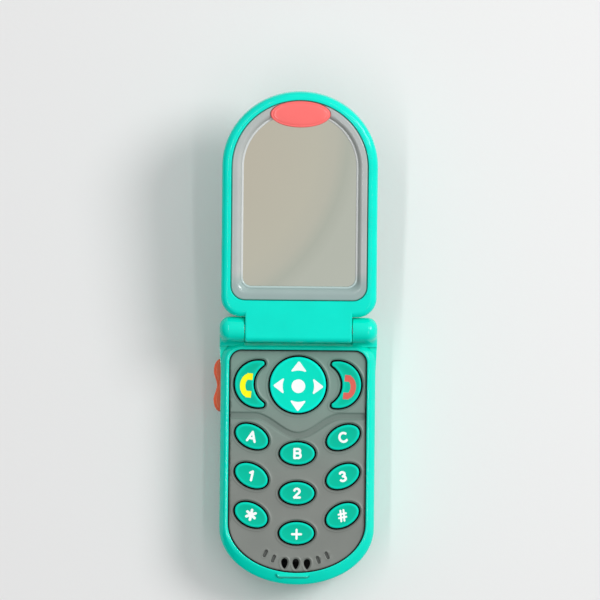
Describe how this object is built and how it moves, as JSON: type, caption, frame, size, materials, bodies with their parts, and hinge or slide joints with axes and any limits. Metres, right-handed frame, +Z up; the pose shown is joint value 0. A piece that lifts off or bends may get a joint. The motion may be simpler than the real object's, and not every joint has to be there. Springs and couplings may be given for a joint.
{
  "type": "toy cell phone",
  "caption": "Baby's toy flip phone with a mirrored lid that folds over a keypad of press-in keys, a direction pad and a rocker button on its edge.",
  "frame": {"origin": "on the flat underside of the base, straight below the middle of the lid's hinge axis", "axes": "+X across the width, to the right of someone reading the keys; +Y from the keypad to the open lid; +Z up, out of the keypad, with the phone lying open on its back"},
  "size_m": [0.0572, 0.1727, 0.0397],
  "materials": {
    "lid_teal": "glossy injection-moulded plastic, bright turquoise",
    "base_teal": "glossy injection-moulded plastic, deeper turquoise",
    "key_teal": "satin-gloss key caps with white printed legends",
    "key_teal_bright": "satin-gloss direction pad with white printed arrows",
    "faceplate_grey": "fine-textured warm grey plastic",
    "silver_plastic": "silver-grey plastic with a metallic sheen",
    "pale_grey_plastic": "pale grey plastic with a diamond lattice in relief",
    "mirror_sheet": "mirrored acrylic sheet",
    "foam": "closed-cell foam pad",
    "coral_plastic": "glossy coral plastic",
    "red_plastic": "glossy red plastic",
    "silicone": "matte silicone",
    "circuit_laminate": "green solder mask",
    "black_plastic": "matte black plastic",
    "cell_jacket": "printed jacket of a AAA cell, plain",
    "steel": "nickel-plated steel"
  },
  "bodies": {
    "base": {"base_front_shell": "base_teal", "base_back_shell": "base_teal", "keypad_faceplate": "faceplate_grey", "keypad_membrane": "silicone", "circuit_board": "circuit_laminate", "speaker": "black_plastic", "side_switch_lower": "black_plastic", "side_switch_upper": "black_plastic", "battery_left": "cell_jacket", "battery_spring_left": "steel", "battery_right": "cell_jacket", "battery_spring_right": "steel", "contact_bridge": "steel", "contact_negative": "steel", "contact_positive": "steel", "battery_cover": "base_teal", "case_screw_1": "steel", "case_screw_2": "steel", "case_screw_3": "steel", "case_screw_4": "steel", "battery_cover_screw": "steel", "power_switch_body": "steel", "hinge_pin_left": "steel", "hinge_pin_right": "steel"},
    "lid": {"lid_inner_frame": "lid_teal", "lid_outer_shell": "lid_teal", "mirror_bezel": "silver_plastic", "mirror": "mirror_sheet", "mirror_pad": "foam", "inner_badge": "coral_plastic", "lattice_panel": "pale_grey_plastic", "outer_badge": "red_plastic"},
    "key_a": {"key_a": "key_teal"},
    "key_1": {"key_1": "key_teal"},
    "key_star": {"key_star": "key_teal"},
    "key_b": {"key_b": "key_teal"},
    "key_2": {"key_2": "key_teal"},
    "key_plus": {"key_plus": "key_teal"},
    "key_c": {"key_c": "key_teal"},
    "key_3": {"key_3": "key_teal"},
    "key_hash": {"key_hash": "key_teal"},
    "call_key": {"call_key": "key_teal"},
    "end_key": {"end_key": "key_teal"},
    "nav_pad": {"nav_pad": "key_teal_bright"},
    "side_button": {"side_button": "red_plastic"},
    "power_switch_knob": {"power_switch_knob": "black_plastic"}
  },
  "joints": [
    {"name": "lid_hinge", "type": "hinge", "parent": "base", "child": "lid", "pos_m": [0, 0, 0.0268], "axis": [1, 0, 0], "range_deg": [0, 174]},
    {"name": "key_a_press", "type": "slide", "parent": "base", "child": "key_a", "axis": [0, 0, -1], "range_m": [0, 0.001], "stiffness_N_per_m": 300, "springref_m": -0.0002},
    {"name": "key_1_press", "type": "slide", "parent": "base", "child": "key_1", "axis": [0, 0, -1], "range_m": [0, 0.001], "stiffness_N_per_m": 300, "springref_m": -0.0002},
    {"name": "key_star_press", "type": "slide", "parent": "base", "child": "key_star", "axis": [0, 0, -1], "range_m": [0, 0.001], "stiffness_N_per_m": 300, "springref_m": -0.0002},
    {"name": "key_b_press", "type": "slide", "parent": "base", "child": "key_b", "axis": [0, 0, -1], "range_m": [0, 0.001], "stiffness_N_per_m": 300, "springref_m": -0.0002},
    {"name": "key_2_press", "type": "slide", "parent": "base", "child": "key_2", "axis": [0, 0, -1], "range_m": [0, 0.001], "stiffness_N_per_m": 300, "springref_m": -0.0002},
    {"name": "key_plus_press", "type": "slide", "parent": "base", "child": "key_plus", "axis": [0, 0, -1], "range_m": [0, 0.001], "stiffness_N_per_m": 300, "springref_m": -0.0002},
    {"name": "key_c_press", "type": "slide", "parent": "base", "child": "key_c", "axis": [0, 0, -1], "range_m": [0, 0.001], "stiffness_N_per_m": 300, "springref_m": -0.0002},
    {"name": "key_3_press", "type": "slide", "parent": "base", "child": "key_3", "axis": [0, 0, -1], "range_m": [0, 0.001], "stiffness_N_per_m": 300, "springref_m": -0.0002},
    {"name": "key_hash_press", "type": "slide", "parent": "base", "child": "key_hash", "axis": [0, 0, -1], "range_m": [0, 0.001], "stiffness_N_per_m": 300, "springref_m": -0.0002},
    {"name": "call_key_press", "type": "slide", "parent": "base", "child": "call_key", "axis": [0, 0, -1], "range_m": [0, 0.001], "stiffness_N_per_m": 300, "springref_m": -0.0002},
    {"name": "end_key_press", "type": "slide", "parent": "base", "child": "end_key", "axis": [0, 0, -1], "range_m": [0, 0.001], "stiffness_N_per_m": 300, "springref_m": -0.0002},
    {"name": "nav_pad_press", "type": "slide", "parent": "base", "child": "nav_pad", "axis": [0, 0, -1], "range_m": [0, 0.001], "stiffness_N_per_m": 300, "springref_m": -0.0002},
    {"name": "side_button_rock", "type": "hinge", "parent": "base", "child": "side_button", "pos_m": [-0.0246, -0.0198, 0.0114], "axis": [0, 0, 1], "range_deg": [-4, 4], "stiffness_Nm_per_rad": 0.1},
    {"name": "power_switch_slide", "type": "slide", "parent": "base", "child": "power_switch_knob", "axis": [0, 1, 0], "range_m": [0, 0.003]}
  ]
}
